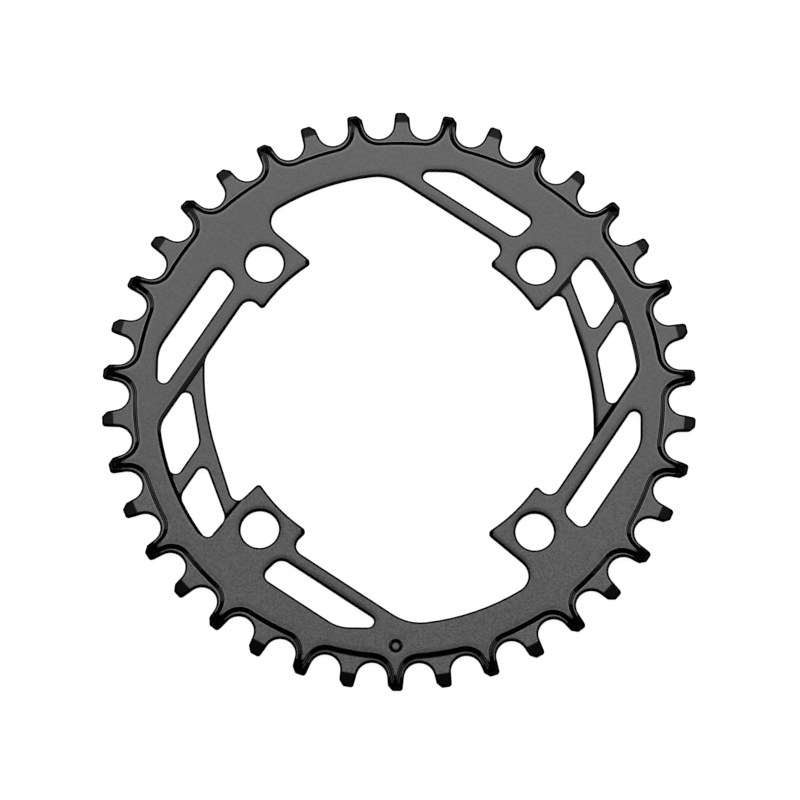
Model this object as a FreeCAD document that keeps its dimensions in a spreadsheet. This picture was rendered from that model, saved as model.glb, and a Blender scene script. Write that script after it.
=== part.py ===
import FreeCAD, Part
import math
import os
import Sketcher
from FreeCAD import Vector

# Bicycle chainring with 38 teeth, narrow and wide by turns, four bolts on a 104 mm circle.
# Frame: Z is the turning axis, the back of the rim lies on z = 0, the front face looks up.
# A narrow tooth stands on +Y, the wide tooth with the dimple under it on -Y.

SIZES = {
    # toothed rim: the gaps are round seats for the chain rollers between leaning flanks
    "tooth_pairs": 19,
    "tip_radius": 80.1,
    "rim_thickness": 4.0,
    "gap_centre_radius": 76.8,
    "gap_round": 4.1,
    "flank_lean": 5.0,
    "tip_cut_width": 1.3,
    "tip_cut_height": 1.5,
    "tip_corner": 0.5,
    # step down from the full thickness to the narrow teeth, on both faces
    "step_depth": 1.1,
    "step_run": 1.2,
    "step_centre_radius": 76.3,
    "step_round": 5.85,
    "step_lean": 11.0,
    # slopes on the tooth tips
    "narrow_slope_radius": 77.15,
    "narrow_slope_drop": 0.45,
    "wide_slope_radius": 77.3,
    "wide_slope_run": 1.87,
    "wide_slope_drop": 1.35,
    "wide_tip_drop": 1.6,
    # thin plate inside the rim, relieved at the back
    "plate_thickness": 2.1,
    "relief_radius": 67.0,
    "relief_run": 1.2,
    # bolt tabs
    "bolt_circle_radius": 52.0,
    "bolt_hole_radius": 5.15,
    "tab_radius": 44.25,
    "tab_half_width": 9.2,
    "tab_round": 1.0,
    # the arms that carry the tabs
    "arm_angle": 57.0,
    "upper_arm_inner": 50.45,
    "side_arm_inner": 49.7,
    "slot_inner": 54.15,
    "slot_outer": 61.45,
    # upper and lower bay of the central opening
    "bay_radius": 62.2,
    "bay_flank_angle": 230.3,
    "bay_flank": 13.38,
    "bay_bend": 13.0,
    "bay_corner": 4.7,
    "bay_notch": 2.8,
    # bays at the sides, closed by the edge of the sunk web
    "side_flat": 52.45,
    "side_web_angle": 18.2,
    "side_web": 51.02,
    "side_web_bend": 75.0,
    "side_bend": 6.5,
    "side_notch": 2.7,
    "side_web_notch": 2.25,
    # long slots, the side pair a little longer
    "slot_side": 9.3,
    "upper_slot_end": 63.28,
    "side_slot_end": 65.03,
    "slot_bend": 10.0,
    "slot_tip": 1.65,
    "slot_corner_outer": 2.2,
    "slot_corner_inner": 3.0,
    # sunk web with two windows and a strut between them
    "web_radius": 65.6,
    "web_lower": 50.3,
    "web_upper_angle": 141.0,
    "web_upper": 14.07,
    "web_inner_angle": 192.5,
    "web_inner": 46.38,
    "web_depth": 1.1,
    "web_run": 1.1,
    "web_bend": 7.1,
    "web_corner": 3.1,
    "web_tip": 1.3,
    "window_radius": 64.6,
    "strut_upper": 33.85,
    "strut_lower": 37.59,
    "upper_window_angle": 201.1,
    "upper_window_inner": 55.04,
    "lower_window_angle": 190.6,
    "lower_window_inner": 54.9,
    "lower_window_edge": 49.4,
    "upper_window_edge": 14.2,
    "window_corner": 1.65,
    "window_bend": 3.5,
    "window_bend_large": 6.0,
    # mark
    "dimple_centre_radius": 68.2,
    "dimple_radius": 1.85,
    "dimple_floor_radius": 1.0,
    "dimple_depth": 0.8,
}

doc = FreeCAD.newDocument("Chainring")
sheet = doc.addObject("Spreadsheet::Sheet", "Sheet")
for row, (alias, value) in enumerate(SIZES.items(), start=1):
    sheet.set("A%d" % row, alias)
    sheet.set("B%d" % row, str(value))
    sheet.setAlias("B%d" % row, alias)
doc.recompute()


def size(alias):
    return float(sheet.get(alias))


body = doc.addObject("PartDesign::Body", "Chainring")
body.Label = "chainring"
ORIGIN = {item.Role: item for item in body.Origin.OriginFeatures}
CENTRE = Vector(0, 0, 0)
built = []

thick = size("rim_thickness")
pitch = 180.0 / size("tooth_pairs")


# Plane geometry

def polar(radius, degrees):
    angle = math.radians(degrees)
    return Vector(radius * math.cos(angle), radius * math.sin(angle), 0)


def line(normal_angle, distance):
    """Straight side of an opening: angle of its outward normal and distance from the axis."""
    return ("line", normal_angle, distance)


def ring(radius):
    """Side of an opening that follows a circle about the axis."""
    return ("ring", radius)


def moved_in(side, distance):
    return side[:-1] + (side[-1] - distance,)


def nearest_on(side, point):
    if side[0] == "ring":
        return point * (side[1] / point.Length)
    normal = polar(1, side[1])
    return point + normal * (side[2] - normal.dot(point))


def crossing(first, second):
    """Point where two sides that follow each other counter-clockwise meet."""
    if first[0] == second[0] == "line":
        turn = math.radians(second[1] - first[1])
        along = (second[2] - first[2] * math.cos(turn)) / math.sin(turn)
        return polar(first[2], first[1]) + polar(along, first[1] + 90)
    straight, sense = (first, 1) if first[0] == "line" else (second, -1)
    radius = second[1] if first[0] == "line" else first[1]
    along = sense * math.sqrt(radius ** 2 - straight[2] ** 2)
    return polar(straight[2], straight[1]) + polar(along, straight[1] + 90)


def outline(corners, inset=0.0):
    """Outline through (side, radius of the corner after it), moved inward by the inset."""
    sides = [moved_in(side, inset) for side, radius in corners]
    count = len(sides)
    joints = []
    for index in range(count):
        here, after = sides[index], sides[(index + 1) % count]
        radius = corners[index][1] - inset
        if corners[index][1] == 0:
            radius = 0
        centre = crossing(moved_in(here, radius), moved_in(after, radius))
        joints.append((nearest_on(here, centre), nearest_on(after, centre), centre, radius))
    curves = []
    for index, side in enumerate(sides):
        start, end = joints[index - 1][1], joints[index][0]
        curves.append(run_between(side, start, end))
        start, end, centre, radius = joints[index]
        if radius:
            middle = ((start + end) * 0.5 - centre).normalize() * radius + centre
            curves.append(Part.Arc(start, middle, end))
    return curves


def run_between(side, start, end):
    if side[0] == "line":
        return Part.LineSegment(start, end)
    return Part.Arc(start, nearest_on(side, (start + end) * 0.5), end)


def polygon(*points):
    return [Part.LineSegment(start, end) for start, end in zip(points, points[1:] + points[:1])]


def swing(centre, radius, start, end):
    """Arc about a centre between two directions given in degrees."""
    return Part.Arc(centre + polar(radius, start), centre + polar(radius, (start + end) / 2),
                    centre + polar(radius, end))


# Sketches and features

def empty_sketch(name, plane="XY_Plane", height=None):
    sketch = body.newObject("Sketcher::SketchObject", name + "Sketch")
    sketch.AttachmentSupport = [(ORIGIN[plane], "")]
    sketch.MapMode = "FlatFace"
    if height:
        sketch.setExpression("AttachmentOffset.Base.z", height)
    return sketch


def make_sketch(name, *loops, plane="XY_Plane", height=None):
    """Sketch of one or more closed loops whose curves are joined end to end."""
    sketch = empty_sketch(name, plane, height)
    for loop in loops:
        first = sketch.GeometryCount
        sketch.addGeometry([as_sketched(curve) for curve in loop], False)
        for step_on in range(len(loop)):
            join_ends(sketch, first + step_on, first + (step_on + 1) % len(loop))
    return sketch


def join_ends(sketch, here, after):
    for end, start in ((2, 1), (2, 2), (1, 1), (1, 2)):
        if (sketch.getPoint(here, end) - sketch.getPoint(after, start)).Length < 1e-6:
            sketch.addConstraint(Sketcher.Constraint("Coincident", here, end, after, start))
            return


def as_sketched(curve):
    if isinstance(curve, Part.LineSegment):
        return curve
    middle = curve.value((curve.FirstParameter + curve.LastParameter) / 2)
    return Part.ArcOfCircle(curve.StartPoint, middle, curve.EndPoint)


def make_disc(name, radius, centre=CENTRE, height=None):
    """Sketch of a circle whose radius follows an expression on the sheet."""
    sketch = empty_sketch(name, height=height)
    sketch.addGeometry(Part.Circle(centre, Vector(0, 0, 1), 1.0), False)
    sketch.addConstraint(Sketcher.Constraint("Radius", 0, 1.0))
    sketch.setExpression("Constraints[0]", radius)
    return sketch


def settle(feature):
    """Recompute, then see that the feature holds and that a cut has taken metal away."""
    body.Tip = feature
    doc.recompute()
    if feature.Shape.isNull() or not feature.Shape.isValid():
        raise RuntimeError(feature.Name + " has no sound shape")
    if built and feature.Shape.Volume > built[-1].Shape.Volume - 0.01:
        raise RuntimeError(feature.Name + " cuts nothing")
    if built:
        print("%-12s %9.1f" % (feature.Name, feature.Shape.Volume - built[-1].Shape.Volume))
    built.append(feature)
    return feature


def cut_through(name, sketch):
    pocket = body.newObject("PartDesign::Pocket", name)
    pocket.Profile = sketch
    pocket.Type = "ThroughAll"
    pocket.Reversed = True
    return settle(pocket)


def cut_between(name, first, second):
    """Cut with straight sloping sides between two outlines at different heights."""
    loft = body.newObject("PartDesign::SubtractiveLoft", name)
    loft.Profile = first
    loft.Sections = [(second, [""])]
    loft.Ruled = True
    return settle(loft)


def repeat(name, originals, count):
    pattern = body.newObject("PartDesign::PolarPattern", name)
    pattern.Originals = originals
    pattern.Axis = (ORIGIN["Z_Axis"], [""])
    pattern.Angle = 360
    pattern.setExpression("Occurrences", count)
    return settle(pattern)


# Blank, relieved at the back so that only the rim keeps the full thickness
blank = body.newObject("PartDesign::Pad", "Blank")
blank.Profile = make_disc("Blank", "Sheet.tip_radius + Sheet.tip_corner")
blank.setExpression("Length", "Sheet.rim_thickness")
settle(blank)

relief = size("relief_radius")
plate_back = thick - size("plate_thickness")
back_relief = body.newObject("PartDesign::Groove", "BackRelief")
back_relief.Profile = make_sketch("BackRelief", polygon(
    Vector(0, -1, 0), Vector(relief + size("relief_run"), -1, 0),
    Vector(relief + size("relief_run"), 0, 0), Vector(relief, plate_back, 0),
    Vector(0, plate_back, 0)), plane="YZ_Plane")
back_relief.ReferenceAxis = (ORIGIN["Z_Axis"], [""])
back_relief.Angle = 360
settle(back_relief)

# Central opening: a bore that ends the tabs, and four bays between them
cut_through("Bore", make_disc("Bore", "Sheet.tab_radius"))

half = size("tab_half_width")
arm = size("arm_angle")
inside_bore = size("tab_radius") * 0.68  # where the cutters end, in metal already bored away
upper_bay = outline([
    (line(-45, -half), size("bay_notch")),
    (line(arm, size("upper_arm_inner")), size("bay_bend")),
    (ring(size("bay_radius")), size("bay_corner")),
    (line(size("bay_flank_angle"), -size("bay_flank")), 0),
    (line(270, -inside_bore), 0)])
side_bay = outline([
    (line(225, -half), size("side_notch")),
    (line(arm - 90, size("side_arm_inner")), size("side_bend")),
    (line(0, size("side_flat")), size("side_web_bend")),
    (line(size("side_web_angle"), size("side_web")), size("side_web_notch")),
    (line(135, -half), 0),
    (line(180, -inside_bore), 0)])
repeat("Bays", [cut_through("Bay", make_sketch("Bay", upper_bay, side_bay))], "2")


# Rounded corners where the sides of the tabs meet the bore
def is_tab_corner(edge):
    heights = [vertex.Z for vertex in edge.Vertexes]
    point = edge.CenterOfMass
    on_bore = abs(math.hypot(point.x, point.y) - size("tab_radius")) < 0.001
    return on_bore and max(heights) - min(heights) > 0.5


corners = ["Edge%d" % number for number, edge in enumerate(built[-1].Shape.Edges, start=1)
           if is_tab_corner(edge)]
bays = built[-1]
tab_tips = body.newObject("PartDesign::Fillet", "TabTips")
tab_tips.Base = (bays, corners)
tab_tips.setExpression("Radius", "Sheet.tab_round")
settle(tab_tips)

# Bolt holes
bolt = polar(size("bolt_circle_radius"), 45)
repeat("BoltHoles", [cut_through(
    "BoltHole", make_disc("BoltHole", "Sheet.bolt_hole_radius", bolt))], "4")


# Long slots between the arms and the rim
def slot(turn, end):
    return outline([
        (line(turn - 45, -size("slot_side")), size("slot_corner_outer")),
        (line(turn + arm, size("slot_outer")), size("slot_bend")),
        (line(turn + 90, end), size("slot_tip")),
        (line(turn + arm + 180, -size("slot_inner")), size("slot_corner_inner"))])


slots = make_sketch("Slot", slot(0, size("upper_slot_end")), slot(90, size("side_slot_end")))
repeat("Slots", [cut_through("Slot", slots)], "2")


# Sunk webs, each with two windows and a strut between them
def web(inset):
    return outline([
        (line(arm - 90, size("web_lower")), size("web_bend")),
        (ring(size("web_radius")), size("web_corner")),
        (line(size("web_upper_angle"), -size("web_upper")), 0),
        (line(size("web_inner_angle"), -size("web_inner")), size("web_tip"))], inset)


web_sink = cut_between(
    "WebSink",
    make_sketch("WebFloor", web(size("web_run")), height="Sheet.rim_thickness - Sheet.web_depth"),
    make_sketch("WebMouth", web(-size("web_run")), height="Sheet.rim_thickness + Sheet.web_depth"))
upper_window = outline([
    (line(arm - 90, size("strut_upper")), size("window_bend")),
    (ring(size("window_radius")), size("window_corner")),
    (line(size("web_upper_angle"), -size("upper_window_edge")), size("window_bend")),
    (line(size("upper_window_angle"), -size("upper_window_inner")), size("window_corner"))])
lower_window = outline([
    (line(arm - 90, size("lower_window_edge")), size("window_bend_large")),
    (ring(size("window_radius")), size("window_corner")),
    (line(arm + 90, -size("strut_lower")), size("window_bend")),
    (line(size("lower_window_angle"), -size("lower_window_inner")), size("window_corner"))])
windows = cut_through("Window", make_sketch("Window", upper_window, lower_window))
repeat("Webs", [web_sink, windows], "2")


# Teeth
def beside(tooth, across, out):
    """Point near a tooth: across runs clockwise from its axis, out away from the centre."""
    return polar(out, tooth) + polar(across, tooth - 90)


def flank_across(out, centre_radius, radius, lean):
    """Half width at a height for a straight flank that leans in and touches the gap's circle."""
    half_pitch = math.radians(pitch / 2)
    lean = math.radians(lean)
    centre_across = centre_radius * math.sin(half_pitch)
    centre_out = centre_radius * math.cos(half_pitch)
    return centre_across - radius / math.cos(lean) + (centre_out - out) * math.tan(lean)


tip = size("tip_radius")
clear = tip + 1.5
before, after = 90.0, 90.0 - pitch
seat = (size("gap_centre_radius"), size("gap_round"), size("flank_lean"))
shoulder_out = tip - size("tip_cut_height")
shoulder_across = flank_across(shoulder_out, *seat)
cut_end = shoulder_across - size("tip_cut_width") * (clear - shoulder_out) / size("tip_cut_height")
corner_out = tip - size("tip_corner")
corner_across = flank_across(corner_out, *seat)
corner_end = corner_across - (clear - corner_out)
seat_arc = swing(polar(seat[0], 90 - pitch / 2), seat[1],
                 before + 90 + seat[2], after + 270 - seat[2])
tooth_gap = [
    Part.LineSegment(beside(before, cut_end, clear), beside(before, shoulder_across, shoulder_out)),
    Part.LineSegment(beside(before, shoulder_across, shoulder_out), seat_arc.StartPoint),
    seat_arc,
    Part.LineSegment(seat_arc.EndPoint, beside(after, -corner_across, corner_out)),
    Part.LineSegment(beside(after, -corner_across, corner_out), beside(after, -corner_end, clear)),
    Part.LineSegment(beside(after, -corner_end, clear), beside(before, cut_end, clear))]


def step(inset, rounded):
    """Sunk ground round the narrow tooth on +Y, from one wide tooth's ridge to the next."""
    radius = size("step_round") - inset
    centre = size("step_centre_radius")
    lean = size("step_lean")
    left, right = 90 + pitch, 90 - pitch
    ridge = flank_across(clear, centre, radius, lean)
    root = centre - radius
    if rounded:
        walls = [
            swing(polar(centre, 90 + pitch / 2), radius, left + 90 + lean, 270 + pitch / 2),
            swing(CENTRE, root, 90 + pitch / 2, 90 - pitch / 2),
            swing(polar(centre, 90 - pitch / 2), radius, 270 - pitch / 2, right + 270 - lean)]
    else:
        reach = centre * math.sin(math.radians(pitch / 2 + lean)) - radius
        foot = math.degrees(math.asin(reach / root)) - lean
        walls = [swing(CENTRE, root, left - foot, right + foot)]
    return [
        Part.LineSegment(beside(left, ridge, clear), walls[0].StartPoint), *walls,
        Part.LineSegment(walls[-1].EndPoint, beside(right, -ridge, clear)),
        Part.LineSegment(beside(right, -ridge, clear), beside(left, ridge, clear))]


def tip_trim(side, *run):
    """Side view of what is cut off a tip; the run holds (radius, depth below the face)."""
    front = [Vector(side * radius, thick - depth, 0) for radius, depth in run]
    back = [Vector(side * radius, depth, 0) for radius, depth in reversed(run)]
    over = Vector(0, 2, 0)
    far = Vector(side * clear, 0, 0)
    return polygon(front[0] + over, *front, *back, back[-1] - over,
                   far - over, far + over + Vector(0, thick, 0))


front_step = cut_between(
    "FrontStep",
    make_sketch("FrontStepLow", step(size("step_run"), True),
                height="Sheet.rim_thickness - Sheet.step_depth"),
    make_sketch("FrontStepHigh", step(-size("step_run"), True),
                height="Sheet.rim_thickness + Sheet.step_depth"))
back_step = cut_between(
    "BackStep",
    make_sketch("BackStepLow", step(size("step_run"), False), height="Sheet.step_depth"),
    make_sketch("BackStepHigh", step(-size("step_run"), False), height="-Sheet.step_depth"))
narrow_trim = tip_trim(
    1, (size("narrow_slope_radius"), size("step_depth")),
    (tip, size("step_depth") + size("narrow_slope_drop")))
wide_trim = tip_trim(
    -1, (size("wide_slope_radius"), 0),
    (size("wide_slope_radius") + size("wide_slope_run"), size("wide_slope_drop")),
    (tip, size("wide_tip_drop")))
tips = body.newObject("PartDesign::Pocket", "Tips")
tips.Profile = make_sketch("Tips", narrow_trim, wide_trim, plane="YZ_Plane")
tips.SideType = "Symmetric"
tips.setExpression("Length", "2 * Sheet.gap_round")
settle(tips)
repeat("Steps", [front_step, back_step, tips], "Sheet.tooth_pairs")
repeat("Teeth", [cut_through("ToothGap", make_sketch("ToothGap", tooth_gap))],
       "2 * Sheet.tooth_pairs")

# Blind dimple under the wide tooth on -Y
below = polar(size("dimple_centre_radius"), -90)
cut_between(
    "Dimple",
    make_disc("DimpleFloor", "Sheet.dimple_floor_radius", below,
              height="Sheet.rim_thickness - Sheet.dimple_depth"),
    make_disc("DimpleMouth", "2 * Sheet.dimple_radius - Sheet.dimple_floor_radius", below,
              height="Sheet.rim_thickness + Sheet.dimple_depth"))

# Checks and export
for item in doc.Objects:
    if "Invalid" in item.State or "Error" in item.State:
        raise RuntimeError(item.Name + " did not recompute")
shape = body.Shape
if shape.isNull() or not shape.isValid() or len(shape.Solids) != 1:
    raise RuntimeError("the chainring is not one sound solid")
print("solids", len(shape.Solids), "faces", len(shape.Faces), "volume", round(shape.Volume, 1))
os.makedirs("parts", exist_ok=True)
shape.exportStep("parts/chainring.step")
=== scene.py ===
import math

import bpy
from mathutils import Matrix, Vector

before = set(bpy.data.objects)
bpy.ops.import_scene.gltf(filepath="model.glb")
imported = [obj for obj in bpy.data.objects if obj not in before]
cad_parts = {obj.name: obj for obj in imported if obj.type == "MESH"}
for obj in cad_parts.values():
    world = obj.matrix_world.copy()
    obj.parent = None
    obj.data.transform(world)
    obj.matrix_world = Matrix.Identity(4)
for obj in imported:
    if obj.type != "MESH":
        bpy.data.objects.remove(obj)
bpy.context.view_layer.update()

scene = bpy.context.scene
scene.view_settings.view_transform = "Standard"

MM = 0.001

# Edge breaks
WELD_DISTANCE = 0.0005 * MM
BREAK_WIDTH = 0.25 * MM
BREAK_SEGMENTS = 2
BREAK_ANGLE = math.radians(24)
TOP_FACE = 4.0 * MM

# Shares of light that the surfaces send back
FLAT_TONE = 0.128
# Painted shade: walls, slopes and edge breaks, near black
WALL_SHADE_TONE = 0.002
# Painted shade on the tooth tips, darker at the bottom of the ring
TIP_SHADE_TONES = (0.004, 0.017)        # at the bottom and at the top of the ring
# Painted reflection in grey stripes on slopes that face sideways
STRIPE_REFLECTION_TONES = (0.075, 0.11)      # on the slopes of the webs and of the rim
ROUGHNESS = (0.33, 0.41)          # from the valleys of the grain to its peaks
BUMP_STRENGTH = 0.06
BUMP_DEPTH = 0.02 * MM

# Factors on the tone of the flats
# Painted shade in spots
PAINTED_SPOT_SHADE = 0.04                  # tab corners, inner edge of the web on the right
# Painted highlight
PAINTED_EDGE_HIGHLIGHT = 1.5                  # beside a black edge
# Painted shade at the bottom, painted highlight above it
FOOT_SHADE_AND_HIGHLIGHT = (0.15, 2.0)          # foot of a slope, at the bottom of the ring and above it
# Painted light
PAINTED_PIT_LIGHT = 1.45                  # floor of the dimple
WEB_LIGHT = 1.06
GRAIN_CONTRAST = 0.3
GRAIN_GROWTH = (2.0, 1.0)         # below and above
CLOUD_TONES = (0.98, 1.02)

# Reach of the tests for metal beside a point
EDGE_REACH = 0.95 * MM
FAR_REACH = 1.7 * MM              # downwards, on the top face
EDGE_SAMPLES = 24
BELOW_SAMPLES = 8

# Places on the ring
STEP_MIDDLE = 3.45 * MM
# Tooth tips: where their painted shade starts, and how much lower it starts at the bottom
TIP_RADII = (76.9 * MM, 77.35 * MM)
TIP_SHIFT = 0.75 * MM             # how much lower the tips start at the bottom
TAB_CORNER = (24.0 * MM, 37.1 * MM)
TAB_CORNER_RADII = (1.6 * MM, 2.0 * MM)
WEB_ARC_CENTRE = (-22.55 * MM, -8.19 * MM)
WEB_ARC_RADII = (75.6 * MM, 76.8 * MM)
DIMPLE_CENTRE = (0.0, -68.2 * MM)
DIMPLE_RADII = (0.9 * MM, 1.1 * MM)


# Node helpers

class Nodes:
    """Short way to place and join nodes in one tree."""

    def __init__(self, tree):
        self.tree = tree
        self.tree.nodes.clear()

    def add(self, kind, inputs=None, **settings):
        node = self.tree.nodes.new("ShaderNode" + kind)
        for name, value in settings.items():
            setattr(node, name, value)
        for name, value in (inputs or {}).items():
            if isinstance(value, bpy.types.NodeSocket):
                self.tree.links.new(value, node.inputs[name])
            else:
                node.inputs[name].default_value = value
        return node

    def parts(self, vector):
        return list(self.add("SeparateXYZ", {0: vector}).outputs)

    def math(self, operation, first, second=0.0):
        return self.add("Math", {0: first, 1: second}, operation=operation).outputs[0]

    def chain(self, operation, first, *others):
        for other in others:
            first = self.math(operation, first, other)
        return first

    def distance(self, x, y, centre):
        to_x = self.math("SUBTRACT", x, centre[0])
        to_y = self.math("SUBTRACT", y, centre[1])
        return self.math("SQRT", self.math("ADD", self.math("MULTIPLY", to_x, to_x),
                                           self.math("MULTIPLY", to_y, to_y)))

    def ramp(self, value, low, high, start=0.0, end=1.0, smooth=True):
        node = self.add("MapRange", {"Value": value, "From Min": low, "From Max": high,
                                     "To Min": start, "To Max": end})
        node.interpolation_type = "SMOOTHSTEP" if smooth else "LINEAR"
        return node.outputs["Result"]

    def fall(self, value, low, high):
        return self.ramp(value, low, high, 1.0, 0.0)

    def mix(self, factor, first, second):
        return self.add("Mix", {0: factor, 2: first, 3: second}).outputs[0]

    def mix_vector(self, factor, first, second):
        return self.add("Mix", {0: factor, 4: first, 5: second}, data_type="VECTOR").outputs[1]

    def mix_colour(self, factor, first, second):
        return self.add("Mix", {0: factor, 6: first, 7: second}, data_type="RGBA").outputs[2]

    def grey(self, value):
        return self.add("CombineColor", {0: value, 1: value, 2: value}).outputs[0]

    def noise(self, where, scale, detail, roughness):
        return self.add("TexNoise", {"Vector": where, "Scale": scale, "Detail": detail,
                                     "Roughness": roughness}).outputs["Fac"]


class Point:
    """Where the shaded point lies, and which way its face looks."""

    def __init__(self, n):
        self.where = n.add("TexCoord").outputs["Object"]
        self.x, self.y, self.z = n.parts(self.where)
        self.radius = n.distance(self.x, self.y, (0.0, 0.0))
        self.normal = n.add("NewGeometry").outputs["True Normal"]
        self.facing_x, self.facing_y, facing_z = n.parts(self.normal)
        self.level = n.math("ABSOLUTE", facing_z)
        self.upright = n.math("SIGN", facing_z)


# Black anodised aluminium: satin metal flats; walls, slopes, edge breaks and tooth tips painted
# black as shade, with painted highlights and reflections

def edge_masks(n, p):
    """How near an outer edge is, how much painted shade its lower side gets, and what counts as
    flat.
    """
    metal = n.add("AmbientOcclusion", {"Distance": EDGE_REACH}, samples=EDGE_SAMPLES,
                  inside=True).outputs["AO"]

    # The same towards the lower side only: painted shade, gently graded, on edges that face down,
    # stronger at the bottom of the ring
    leaning = n.add("CombineXYZ", {1: 0.7, 2: n.math("MULTIPLY", p.upright, 0.7)}).outputs[0]
    reach = n.ramp(p.z, 2.95 * MM, 3.6 * MM, EDGE_REACH, FAR_REACH, smooth=False)
    below = n.add("AmbientOcclusion", {"Distance": reach, "Normal": leaning},
                  samples=BELOW_SAMPLES, inside=True).outputs["AO"]
    painted_edge_shade = n.math("POWER", n.ramp(below, 0.1, 1.0, 0.1, 1.0, smooth=False),
                  n.ramp(p.y, -50.0 * MM, 50.0 * MM, 2.0, 0.9))

    # The painted black shade line along such an edge is thinner, more so in the upper half
    ease = n.ramp(p.y, -30.0 * MM, 20.0 * MM, 0.4, 0.65)
    thinner = n.math("MULTIPLY", ease, n.ramp(below, 0.3, 0.8, 0.2, 0.0))
    inner = n.ramp(n.math("ADD", metal, thinner), 0.83, 0.92)
    lower = n.math("MULTIPLY", ease, n.ramp(p.facing_y, -0.34, -0.2, 0.03, 0.0))
    flat = n.math("MULTIPLY", n.ramp(n.math("ADD", p.level, lower), 0.93, 0.95), inner)
    return metal, painted_edge_shade, flat


def painted_slope_reflection(n, p):
    """Painted reflection: slopes that face sideways are grey in two stripes, with painted black
    shade beside them.
    """
    middle = n.math("ABSOLUTE", n.math("SUBTRACT", p.z, STEP_MIDDLE))
    return n.chain("MULTIPLY",
                   n.ramp(p.level, 0.62, 0.68),
                   n.fall(p.level, 0.78, 0.84),
                   n.ramp(n.math("ABSOLUTE", p.facing_x), 0.48, 0.58),
                   n.fall(p.facing_y, -0.02, 0.1),
                   n.ramp(middle, 0.08 * MM, 0.15 * MM),
                   n.fall(middle, 0.36 * MM, 0.42 * MM))


def satin(n, p, grain, painted_edge_shade):
    """Tone of the flats: fine grain, stronger in the lower half, slow clouds, a little lighter on
    the lower faces such as the webs, and painted shade near edges that face down.
    """
    cloud = n.noise(p.where, 28.0, 2.0, 0.5)
    grit = n.math("MULTIPLY",
                  n.ramp(grain, 0.25, 0.75, -GRAIN_CONTRAST, GRAIN_CONTRAST, smooth=False),
                  n.ramp(p.y, -60.0 * MM, 20.0 * MM, *GRAIN_GROWTH))
    tone = n.math("ADD", grit, n.ramp(cloud, 0.3, 0.7, *CLOUD_TONES))
    return n.chain("MULTIPLY", tone, n.ramp(p.z, 2.8 * MM, 3.2 * MM, WEB_LIGHT, 1.0), painted_edge_shade)


def painted_edge_lines(n, p, metal):
    """Painted highlight lines beside the black edges, and a painted line at the foot of a slope:
    shade at the bottom of the ring, highlight above it.
    """
    beside = n.ramp(metal, 0.95, 1.0, PAINTED_EDGE_HIGHLIGHT, 1.0)
    broken = n.fall(p.level, 0.985, 0.992)
    foot = n.mix(n.math("MULTIPLY", broken, n.ramp(metal, 0.95, 0.99)), 1.0,
                 n.ramp(p.y, -71.0 * MM, -60.0 * MM, *FOOT_SHADE_AND_HIGHLIGHT))
    return n.math("MULTIPLY", beside, foot)


def painted_local_light_and_shade(n, p):
    """Painted shade and painted light at a few places, darker or lighter than their shape
    explains.
    """
    # Painted shade in the corners of the tabs
    corner = n.distance(n.math("ABSOLUTE", p.x), n.math("ABSOLUTE", p.y), TAB_CORNER)
    corner = n.ramp(corner, *TAB_CORNER_RADII, PAINTED_SPOT_SHADE, 1.0)

    # Painted shade along the inner edge of the web on the right, on its front: a wider black band
    # than at the other edges
    border = n.chain("MAXIMUM",
                     n.ramp(n.distance(p.x, p.y, WEB_ARC_CENTRE), *WEB_ARC_RADII, PAINTED_SPOT_SHADE, 1.0),
                     n.ramp(p.z, 3.0 * MM, 3.2 * MM),
                     n.fall(p.z, 2.2 * MM, 2.4 * MM),
                     n.fall(p.x, 40.0 * MM, 42.0 * MM))

    # Painted light on the floor of the dimple, lighter than its depth would let it be
    pit = n.ramp(n.distance(p.x, p.y, DIMPLE_CENTRE), *DIMPLE_RADII,
                 n.ramp(p.z, 2.0 * MM, 2.2 * MM, 1.0, PAINTED_PIT_LIGHT), 1.0)
    return n.chain("MULTIPLY", corner, border, pit)


def anodised():
    material = bpy.data.materials.new("black_anodised_aluminium_with_painted_shade")
    material.use_nodes = True
    n = Nodes(material.node_tree)
    p = Point(n)
    metal, painted_edge_shade, flat = edge_masks(n, p)
    slope = painted_slope_reflection(n, p)
    grain = n.noise(p.where, 1900.0, 4.0, 0.75)
    tone = satin(n, p, grain, painted_edge_shade)
    face = n.chain("MULTIPLY", tone, FLAT_TONE, painted_edge_lines(n, p, metal), painted_local_light_and_shade(n, p))

    # Painted shade on the tooth tips, darker and starting lower down at the bottom of the ring
    reach = n.math("ADD", p.radius, n.ramp(p.y, -77.0 * MM, 20.0 * MM, TIP_SHIFT, 0.0))
    face = n.mix(n.ramp(reach, *TIP_RADII), face,
                 n.ramp(p.y, -70.0 * MM, 30.0 * MM, *TIP_SHADE_TONES))
    # Painted reflection in the stripes on the slopes
    face = n.mix(slope, face, n.ramp(p.radius, 62.0 * MM, 68.0 * MM, *STRIPE_REFLECTION_TONES))

    # Grey parts shine as metal does; the black ones are painted shade and don't shine; the breaks
    # round a flat look straight up
    shiny = n.math("ADD", flat, slope)
    painted_wall_shade = n.math("MULTIPLY", tone, WALL_SHADE_TONE)
    plumb = n.add("CombineXYZ", {2: p.upright}).outputs[0]
    bump = n.add("Bump", {"Height": grain, "Strength": BUMP_STRENGTH, "Distance": BUMP_DEPTH,
                          "Normal": n.mix_vector(flat, p.normal, plumb)})
    shader = n.add("BsdfPrincipled", {
        "Base Color": n.mix_colour(shiny, n.grey(painted_wall_shade), n.grey(face)), "Metallic": shiny,
        "Roughness": n.ramp(grain, 0.2, 0.8, *ROUGHNESS, smooth=False),
        "Specular IOR Level": 0.0, "Normal": bump.outputs[0]})
    n.add("OutputMaterial", {"Surface": shader.outputs[0]})
    return material


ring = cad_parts["chainring"]
ring.data.materials.clear()
ring.data.materials.append(anodised())

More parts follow.
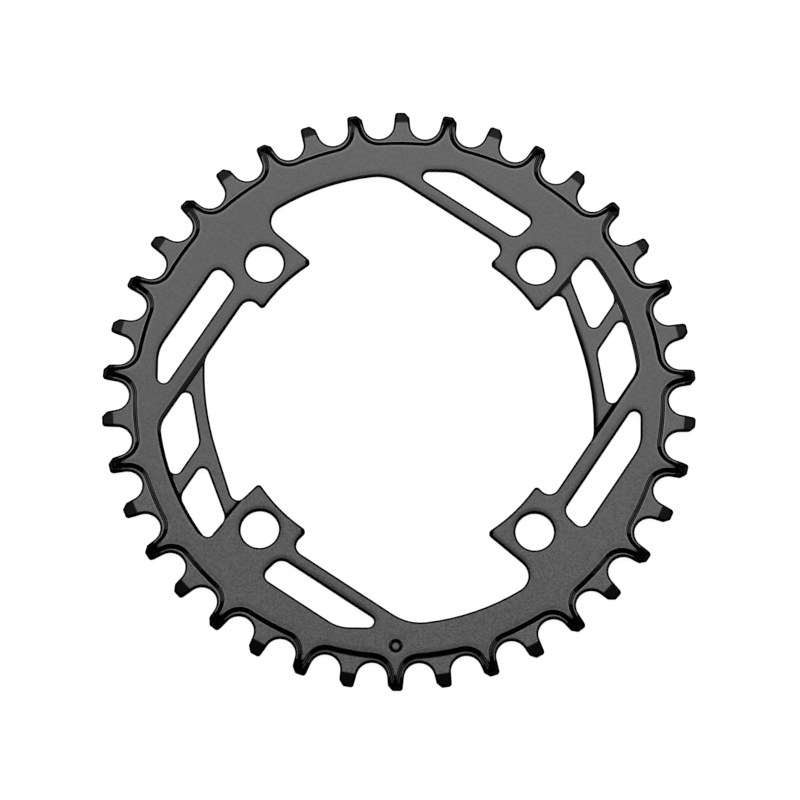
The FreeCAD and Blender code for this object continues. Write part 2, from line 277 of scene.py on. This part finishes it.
weld = ring.modifiers.new("weld", "WELD")
weld.merge_threshold = WELD_DISTANCE
edge_break = ring.modifiers.new("edge_break", "BEVEL")
edge_break.width = BREAK_WIDTH
edge_break.segments = BREAK_SEGMENTS
edge_break.limit_method = "ANGLE"
edge_break.angle_limit = BREAK_ANGLE
edge_break.use_clamp_overlap = False
edge_break.loop_slide = False

# At a few sharp points of the webs the break would rise above the top face: held at its level
hold = bpy.data.node_groups.new("hold_at_top_face", "GeometryNodeTree")
for direction in ("INPUT", "OUTPUT"):
    hold.interface.new_socket("Geometry", in_out=direction, socket_type="NodeSocketGeometry")
g = Nodes(hold)
at_x, at_y, at_z = g.parts(hold.nodes.new("GeometryNodeInputPosition").outputs[0])
held = g.add("CombineXYZ", {0: at_x, 1: at_y, 2: g.math("MINIMUM", at_z, TOP_FACE)}).outputs[0]
source, move, result = (hold.nodes.new(kind) for kind in (
    "NodeGroupInput", "GeometryNodeSetPosition", "NodeGroupOutput"))
hold.links.new(source.outputs[0], move.inputs["Geometry"])
hold.links.new(held, move.inputs["Position"])
hold.links.new(move.outputs[0], result.inputs[0])
ring.modifiers.new("hold", "NODES").node_group = hold


# Floor, lamps and surroundings

FLOOR_HALF_WIDTH = 3.0
FLOOR_GAP = 0.02 * MM
FLOOR_TONE = 0.55
FLOOR_GLOW = 0.9                  # only for what the camera sees, directly or in a reflection
WORLD_LIGHT = 0.22
BACKGROUND = 1.0


def pale_floor():
    mesh = bpy.data.meshes.new("floor")
    edge = FLOOR_HALF_WIDTH
    mesh.from_pydata([(x, y, -FLOOR_GAP) for x, y in ((-edge, -edge), (edge, -edge),
                                                       (edge, edge), (-edge, edge))],
                     [], [(0, 1, 2, 3)])
    floor = bpy.data.objects.new("floor", mesh)
    scene.collection.objects.link(floor)
    material = bpy.data.materials.new("pale_floor")
    material.use_nodes = True
    n = Nodes(material.node_tree)
    path = n.add("LightPath")
    seen = n.chain("MAXIMUM", path.outputs["Is Camera Ray"], path.outputs["Is Glossy Ray"],
                   path.outputs["Is Transmission Ray"])
    shader = n.add("BsdfPrincipled", {
        "Base Color": (FLOOR_TONE, FLOOR_TONE, FLOOR_TONE, 1.0), "Roughness": 0.9,
        "Specular IOR Level": 0.0, "Emission Color": (1.0, 1.0, 1.0, 1.0),
        "Emission Strength": n.math("MULTIPLY", seen, FLOOR_GLOW)})
    n.add("OutputMaterial", {"Surface": shader.outputs[0]})
    mesh.materials.append(material)
    return floor


def area_lamp(name, azimuth, elevation, distance, width, power):
    """Square lamp aimed at the ring; azimuth 0 stands on the +Y side."""
    lamp = bpy.data.lights.new(name, "AREA")
    lamp.shape = "SQUARE"
    lamp.size = width
    lamp.energy = power
    holder = bpy.data.objects.new(name, lamp)
    a, e = math.radians(azimuth), math.radians(elevation)
    way = Vector((math.sin(a) * math.cos(e), math.cos(a) * math.cos(e), math.sin(e)))
    holder.location = way * distance
    holder.rotation_euler = way.to_track_quat("Z", "Y").to_euler()
    scene.collection.objects.link(holder)
    return holder


floor = pale_floor()
key = area_lamp("key_lamp", azimuth=5, elevation=59, distance=2.4, width=1.9, power=16.0)
fill = area_lamp("fill_lamp", azimuth=180, elevation=50, distance=2.4, width=1.4, power=2.0)

world = bpy.data.worlds.new("surroundings")
scene.world = world
world.use_nodes = True
w = Nodes(world.node_tree)
camera_ray = w.add("LightPath").outputs["Is Camera Ray"]
strength = w.ramp(camera_ray, 0.0, 1.0, WORLD_LIGHT, BACKGROUND, smooth=False)
sky = w.add("Background", {"Color": (1.0, 1.0, 1.0, 1.0), "Strength": strength})
w.add("OutputWorld", {"Surface": sky.outputs[0]})


# Camera of the photograph, as fitted to it

IMAGE_WIDTH = 800.0
FOCAL_LENGTH = 5409.49            # in pixels
SENSOR_WIDTH = 36.0
TURN_X, TURN_Y, TURN_Z = -0.238280, -0.0093346, -0.0114285
RING_TO_EYE = Vector((0.33637, -0.944, 1454.65))     # in millimetres, along the camera's axes

camera = bpy.data.cameras.new("camera")
camera.sensor_width = SENSOR_WIDTH
camera.lens = FOCAL_LENGTH / IMAGE_WIDTH * SENSOR_WIDTH
camera.clip_start = 0.1
camera.clip_end = 20.0
eye = bpy.data.objects.new("camera", camera)
scene.collection.objects.link(eye)
turn = (Matrix.Rotation(TURN_X, 3, "X") @ Matrix.Rotation(TURN_Y, 3, "Y")
        @ Matrix.Rotation(TURN_Z, 3, "Z"))
place = turn.transposed() @ RING_TO_EYE * MM + Vector((0, 0, TOP_FACE))
eye.matrix_world = Matrix.Translation(place) @ turn.transposed().to_4x4()
scene.camera = eye
